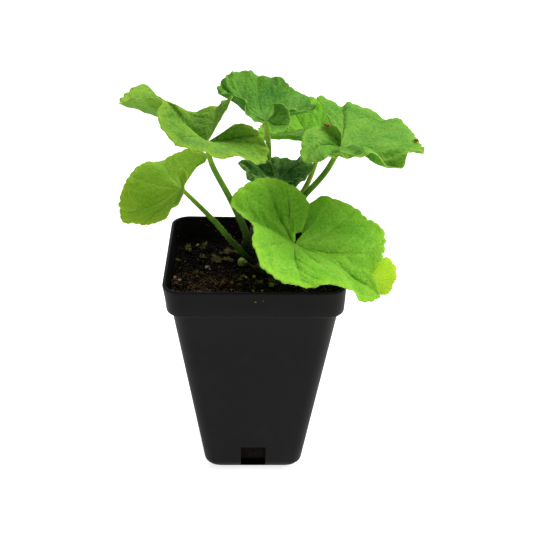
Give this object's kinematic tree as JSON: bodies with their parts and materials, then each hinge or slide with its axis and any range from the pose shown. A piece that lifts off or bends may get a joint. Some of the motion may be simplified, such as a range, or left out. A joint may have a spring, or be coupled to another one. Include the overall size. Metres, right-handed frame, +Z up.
{
  "type": "potted geranium",
  "caption": "Young zonal geranium with rounded, scalloped, waved leaves on slim petioles, growing in a deep square plastic nursery pot filled with peat.",
  "frame": {"origin": "centre of the pot's flat underside, on the floor", "axes": "+Z up along the pot; -Y is the side that the picture shows; +X is to the right in the picture"},
  "size_m": [0.1534, 0.1404, 0.2096],
  "materials": {
    "black_plastic": "moulded, slightly satin",
    "peat": "damp peat and fibre with moss",
    "stem_green": "fleshy plant stem",
    "petiole_green": "fleshy stalk with short pale hairs",
    "leaf_green": "soft, finely hairy leaf",
    "leaf_yellow_green": "soft, finely hairy leaf",
    "leaf_dark_green": "soft, crumpled young leaf",
    "leaf_bright_green": "soft, finely hairy leaf"
  },
  "bodies": {
    "root": {"pot": "black_plastic", "potting_mix": "peat", "main_stem": "stem_green", "petiole_a": "petiole_green", "petiole_b": "petiole_green", "petiole_c": "petiole_green", "petiole_d": "petiole_green", "petiole_e": "petiole_green", "petiole_f": "petiole_green", "petiole_g": "petiole_green", "blade_a": "leaf_green", "blade_b": "leaf_yellow_green", "blade_c": "leaf_green", "blade_d": "leaf_yellow_green", "blade_e": "leaf_green", "blade_f": "leaf_dark_green", "blade_g": "leaf_bright_green"}
  },
  "joints": []
}
